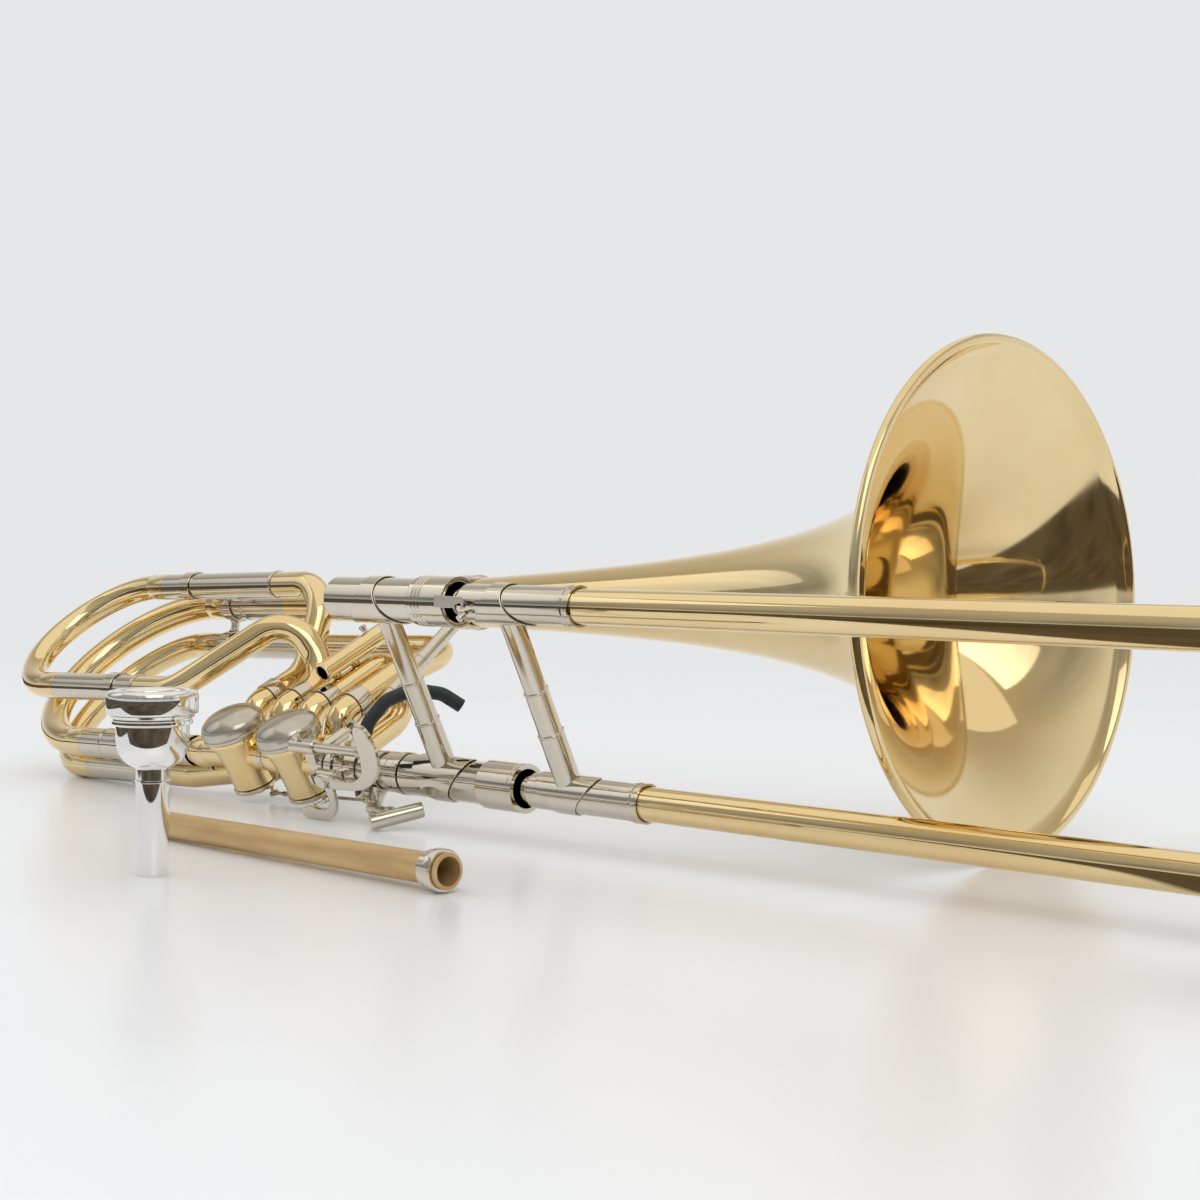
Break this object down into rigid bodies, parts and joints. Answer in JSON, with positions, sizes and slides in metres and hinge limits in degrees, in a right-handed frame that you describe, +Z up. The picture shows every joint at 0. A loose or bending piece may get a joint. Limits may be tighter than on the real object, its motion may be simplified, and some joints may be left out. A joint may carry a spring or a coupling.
{
  "type": "bass trombone",
  "caption": "Bass trombone lying on a table, bell to +X, with in-line rotary valves, open wraps, hand slide, levers, loose mouthpiece and leadpipe.",
  "frame": {"origin": "on the table, under the middle of the footprint", "axes": "+X from the tuning bows to the slide crook, the way the bell faces; +Y from the slide to the bell; +Z up"},
  "size_m": [1.1902, 0.43, 0.2412],
  "materials": {
    "lacquered_brass": "polished lacquer",
    "nickel_silver": "polished nickel",
    "silver_plate": "mirror silver plate",
    "raw_brass": "tarnished, matte",
    "black_rubber": "matte"
  },
  "bodies": {
    "bell_section": {"bell": "lacquered_brass", "bell_brace": "nickel_silver", "bell_receiver": "nickel_silver", "f_inlet_tube": "lacquered_brass", "f_outlet_tube": "lacquered_brass", "f_sleeve_lower": "nickel_silver", "f_sleeve_upper": "nickel_silver", "front_bearing_plate": "nickel_silver", "front_valve_cap": "nickel_silver", "front_valve_casing": "lacquered_brass", "gb_inlet_tube": "lacquered_brass", "gb_outlet_tube": "lacquered_brass", "gb_sleeve_lower": "nickel_silver", "gb_sleeve_upper": "nickel_silver", "hand_rest_socket": "lacquered_brass", "lower_wrap_brace": "nickel_silver", "main_sleeve_lower": "nickel_silver", "main_sleeve_upper": "nickel_silver", "paddle_lever_bearing": "nickel_silver", "rear_bearing_plate": "nickel_silver", "rear_valve_cap": "nickel_silver", "rear_valve_casing": "lacquered_brass", "socket_screw": "nickel_silver", "t_bar_screw": "nickel_silver", "t_bar_socket": "nickel_silver", "thumb_lever_bearing": "nickel_silver", "valve_link_tube": "nickel_silver", "wrap_brace": "nickel_silver"},
    "bell_lock_nut": {"bell_lock_nut": "nickel_silver"},
    "inner_slide": {"slide_tenon": "nickel_silver", "inner_tube_upper": "nickel_silver", "inner_tube_lower": "nickel_silver", "cork_barrel_upper": "nickel_silver", "cork_barrel_lower": "nickel_silver", "inner_brace": "nickel_silver"},
    "slide_lock_ring": {"slide_lock_ring": "nickel_silver"},
    "outer_slide": {"outer_tube_upper": "lacquered_brass", "outer_tube_lower": "lacquered_brass", "outer_sleeve_upper": "nickel_silver", "outer_sleeve_lower": "nickel_silver", "outer_brace": "nickel_silver", "slide_crook": "lacquered_brass", "crook_bumper": "black_rubber", "lock_stud": "nickel_silver"},
    "water_key": {"water_key": "nickel_silver"},
    "main_tuning_slide": {"main_tuning_slide": "lacquered_brass"},
    "gb_tuning_slide": {"gb_tuning_slide": "lacquered_brass"},
    "f_tuning_slide": {"f_tuning_slide": "lacquered_brass"},
    "thumb_lever": {"thumb_lever": "nickel_silver", "thumb_lever_grip": "black_rubber"},
    "rear_rotor": {"rear_rotor": "lacquered_brass"},
    "rear_link": {"rear_link": "nickel_silver"},
    "paddle_lever": {"paddle_lever": "nickel_silver"},
    "front_rotor": {"front_rotor": "lacquered_brass"},
    "front_link": {"front_link": "nickel_silver"},
    "t_bar": {"t_bar": "nickel_silver"},
    "mouthpiece": {"mouthpiece": "silver_plate"},
    "leadpipe": {"leadpipe": "raw_brass", "leadpipe_collar": "nickel_silver"}
  },
  "joints": [
    {"name": "lock_nut_turn", "type": "hinge", "parent": "bell_section", "child": "bell_lock_nut", "pos_m": [-0.21298, -0.01292, 0.02716], "axis": [1, 0, -0.0098], "continuous": true},
    {"name": "slide_section_lift", "type": "slide", "parent": "bell_section", "child": "inner_slide", "axis": [1, 0, -0.0098], "range_m": [0, 0.02]},
    {"name": "lock_ring_turn", "type": "hinge", "parent": "inner_slide", "child": "slide_lock_ring", "pos_m": [-0.13798, -0.05818, 0.11839], "axis": [1, 0, -0.0098], "range_deg": [0, 25]},
    {"name": "hand_slide_draw", "type": "slide", "parent": "inner_slide", "child": "outer_slide", "axis": [1, 0, -0.0098], "range_m": [0, 0.6]},
    {"name": "water_key_tip", "type": "hinge", "parent": "outer_slide", "child": "water_key", "pos_m": [0.49402, -0.00771, 0.00964], "axis": [0, 0.8973, 0.4415], "range_deg": [0, 8], "stiffness_Nm_per_rad": 0.05, "springref_deg": -5.73},
    {"name": "main_tuning_draw", "type": "slide", "parent": "bell_section", "child": "main_tuning_slide", "axis": [-0.9998, 0, -0.0209], "range_m": [0, 0.05]},
    {"name": "gb_tuning_draw", "type": "slide", "parent": "bell_section", "child": "gb_tuning_slide", "axis": [-0.9998, 0, -0.0209], "range_m": [0, 0.05]},
    {"name": "f_tuning_draw", "type": "slide", "parent": "bell_section", "child": "f_tuning_slide", "axis": [-0.9998, 0, -0.0209], "range_m": [0, 0.05]},
    {"name": "thumb_lever_hinge", "type": "hinge", "parent": "bell_section", "child": "thumb_lever", "pos_m": [-0.25598, -0.01902, 0.03996], "axis": [0, 0.8973, 0.4415], "range_deg": [0, 13.4], "stiffness_Nm_per_rad": 0.6, "springref_deg": -6.88},
    {"name": "rear_rotor_turn", "type": "hinge", "parent": "bell_section", "child": "rear_rotor", "pos_m": [-0.34098, -0.01292, 0.02841], "axis": [0, -0.4415, 0.8973], "range_deg": [0, 90]},
    {"name": "rear_link_pin", "type": "hinge", "parent": "rear_rotor", "child": "rear_link", "pos_m": [-0.33603, 0.00432, 0.00453], "axis": [0, -0.4415, 0.8973], "range_deg": [-90, 0]},
    {"name": "paddle_lever_hinge", "type": "hinge", "parent": "bell_section", "child": "paddle_lever", "pos_m": [-0.23748, -0.03574, 0.02508], "axis": [1, 0, -0.0098], "range_deg": [-25.8, 0], "stiffness_Nm_per_rad": 0.3, "springref_deg": 8.59},
    {"name": "front_rotor_turn", "type": "hinge", "parent": "bell_section", "child": "front_rotor", "pos_m": [-0.29098, -0.01292, 0.02792], "axis": [0, -0.4415, 0.8973], "range_deg": [-90, 0]},
    {"name": "front_link_pin", "type": "hinge", "parent": "front_rotor", "child": "front_link", "pos_m": [-0.28603, 0.00353, 0.00566], "axis": [0, -0.4415, 0.8973], "range_deg": [0, 90]},
    {"name": "hand_bar_swivel", "type": "hinge", "parent": "bell_section", "child": "t_bar", "pos_m": [-0.22198, -0.01834, 0.01134], "axis": [0, -0.3223, -0.9466], "range_deg": [0, 20]},
    {"name": "mouthpiece_lift", "type": "slide", "parent": "bell_section", "child": "mouthpiece", "axis": [0, 0, 1], "range_m": [0, 0.15]},
    {"name": "leadpipe_lift", "type": "slide", "parent": "bell_section", "child": "leadpipe", "axis": [0, 0, 1], "range_m": [0, 0.15]}
  ],
  "couplings": [
    {"joint": "rear_rotor_turn", "follows": "thumb_lever_hinge", "ratio": 6.7159},
    {"joint": "rear_link_pin", "follows": "thumb_lever_hinge", "ratio": -6.7159},
    {"joint": "front_rotor_turn", "follows": "paddle_lever_hinge", "ratio": 3.4879},
    {"joint": "front_link_pin", "follows": "paddle_lever_hinge", "ratio": -3.4879}
  ]
}
